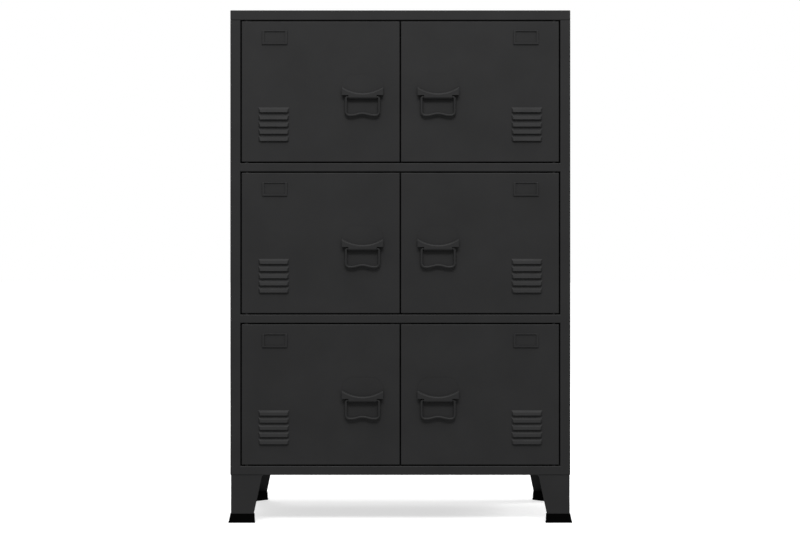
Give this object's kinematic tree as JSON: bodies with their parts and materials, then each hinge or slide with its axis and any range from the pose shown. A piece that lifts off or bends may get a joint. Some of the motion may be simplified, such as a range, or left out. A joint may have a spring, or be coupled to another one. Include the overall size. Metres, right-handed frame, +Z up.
{
  "type": "tall steel storage cabinet",
  "caption": "Tall sheet-steel cabinet with rows of paired hinged doors, drop-bail handles, vents and label holders, on tapered angle legs with foot caps.",
  "frame": {"origin": "centre of the bounding box at floor level, under the middle of the cabinet with its handles and foot caps", "axes": "+X to the right of the front, +Y to the back, +Z up; the doors face -Y"},
  "size_m": [0.7578, 0.4154, 1.13],
  "materials": {
    "black_paint": "matt fine-textured powder coat",
    "foot_plastic": "moulded, matt",
    "zinc_steel": "zinc plated",
    "nylon": "moulded black nylon",
    "catch_plastic": "moulded, satin",
    "magnet": "ground ferrite"
  },
  "bodies": {
    "cabinet": {"top_panel": "black_paint", "bottom_panel": "black_paint", "back_panel": "black_paint", "shelf_upper": "black_paint", "shelf_lower": "black_paint", "side_panel_left": "black_paint", "side_panel_right": "black_paint", "leg_front_left": "black_paint", "leg_front_right": "black_paint", "leg_rear_left": "black_paint", "leg_rear_right": "black_paint", "foot_cap_front_left": "foot_plastic", "foot_cap_front_right": "foot_plastic", "foot_cap_rear_left": "foot_plastic", "foot_cap_rear_right": "foot_plastic", "hinge_bushes": "nylon", "catch_brackets": "zinc_steel", "catch_housings": "catch_plastic", "catch_magnets": "magnet", "leg_bolts": "zinc_steel", "leg_nuts": "zinc_steel", "top_screws": "zinc_steel", "back_screws": "zinc_steel"},
    "door_top_left": {"door_top_left": "black_paint", "label_holder_top_left": "black_paint", "handle_plate_top_left": "black_paint", "handle_screws_top_left": "zinc_steel", "hinge_pins_top_left": "zinc_steel"},
    "bail_top_left": {"handle_bail_top_left": "black_paint"},
    "door_top_right": {"door_top_right": "black_paint", "label_holder_top_right": "black_paint", "handle_plate_top_right": "black_paint", "handle_screws_top_right": "zinc_steel", "hinge_pins_top_right": "zinc_steel"},
    "bail_top_right": {"handle_bail_top_right": "black_paint"},
    "door_middle_left": {"door_middle_left": "black_paint", "label_holder_middle_left": "black_paint", "handle_plate_middle_left": "black_paint", "handle_screws_middle_left": "zinc_steel", "hinge_pins_middle_left": "zinc_steel"},
    "bail_middle_left": {"handle_bail_middle_left": "black_paint"},
    "door_middle_right": {"door_middle_right": "black_paint", "label_holder_middle_right": "black_paint", "handle_plate_middle_right": "black_paint", "handle_screws_middle_right": "zinc_steel", "hinge_pins_middle_right": "zinc_steel"},
    "bail_middle_right": {"handle_bail_middle_right": "black_paint"},
    "door_bottom_left": {"door_bottom_left": "black_paint", "label_holder_bottom_left": "black_paint", "handle_plate_bottom_left": "black_paint", "handle_screws_bottom_left": "zinc_steel", "hinge_pins_bottom_left": "zinc_steel"},
    "bail_bottom_left": {"handle_bail_bottom_left": "black_paint"},
    "door_bottom_right": {"door_bottom_right": "black_paint", "label_holder_bottom_right": "black_paint", "handle_plate_bottom_right": "black_paint", "handle_screws_bottom_right": "zinc_steel", "hinge_pins_bottom_right": "zinc_steel"},
    "bail_bottom_right": {"handle_bail_bottom_right": "black_paint"}
  },
  "joints": [
    {"name": "door_top_left_hinge", "type": "hinge", "parent": "cabinet", "child": "door_top_left", "pos_m": [-0.339, -0.1892, 0.9505], "axis": [0, 0, -1], "range_deg": [0, 110]},
    {"name": "door_top_right_hinge", "type": "hinge", "parent": "cabinet", "child": "door_top_right", "pos_m": [0.339, -0.1892, 0.9505], "axis": [0, 0, 1], "range_deg": [0, 110]},
    {"name": "door_middle_left_hinge", "type": "hinge", "parent": "cabinet", "child": "door_middle_left", "pos_m": [-0.339, -0.1892, 0.6165], "axis": [0, 0, -1], "range_deg": [0, 110]},
    {"name": "door_middle_right_hinge", "type": "hinge", "parent": "cabinet", "child": "door_middle_right", "pos_m": [0.339, -0.1892, 0.6165], "axis": [0, 0, 1], "range_deg": [0, 110]},
    {"name": "door_bottom_left_hinge", "type": "hinge", "parent": "cabinet", "child": "door_bottom_left", "pos_m": [-0.339, -0.1892, 0.2825], "axis": [0, 0, -1], "range_deg": [0, 110]},
    {"name": "door_bottom_right_hinge", "type": "hinge", "parent": "cabinet", "child": "door_bottom_right", "pos_m": [0.339, -0.1892, 0.2825], "axis": [0, 0, 1], "range_deg": [0, 110]},
    {"name": "bail_top_left_hinge", "type": "hinge", "parent": "door_top_left", "child": "bail_top_left", "pos_m": [-0.08325, -0.2027, 0.9385], "axis": [-1, 0, 0], "range_deg": [0, 90]},
    {"name": "bail_top_right_hinge", "type": "hinge", "parent": "door_top_right", "child": "bail_top_right", "pos_m": [0.08325, -0.2027, 0.9385], "axis": [-1, 0, 0], "range_deg": [0, 90]},
    {"name": "bail_middle_left_hinge", "type": "hinge", "parent": "door_middle_left", "child": "bail_middle_left", "pos_m": [-0.08325, -0.2027, 0.6045], "axis": [-1, 0, 0], "range_deg": [0, 90]},
    {"name": "bail_middle_right_hinge", "type": "hinge", "parent": "door_middle_right", "child": "bail_middle_right", "pos_m": [0.08325, -0.2027, 0.6045], "axis": [-1, 0, 0], "range_deg": [0, 90]},
    {"name": "bail_bottom_left_hinge", "type": "hinge", "parent": "door_bottom_left", "child": "bail_bottom_left", "pos_m": [-0.08325, -0.2027, 0.2705], "axis": [-1, 0, 0], "range_deg": [0, 90]},
    {"name": "bail_bottom_right_hinge", "type": "hinge", "parent": "door_bottom_right", "child": "bail_bottom_right", "pos_m": [0.08325, -0.2027, 0.2705], "axis": [-1, 0, 0], "range_deg": [0, 90]}
  ]
}
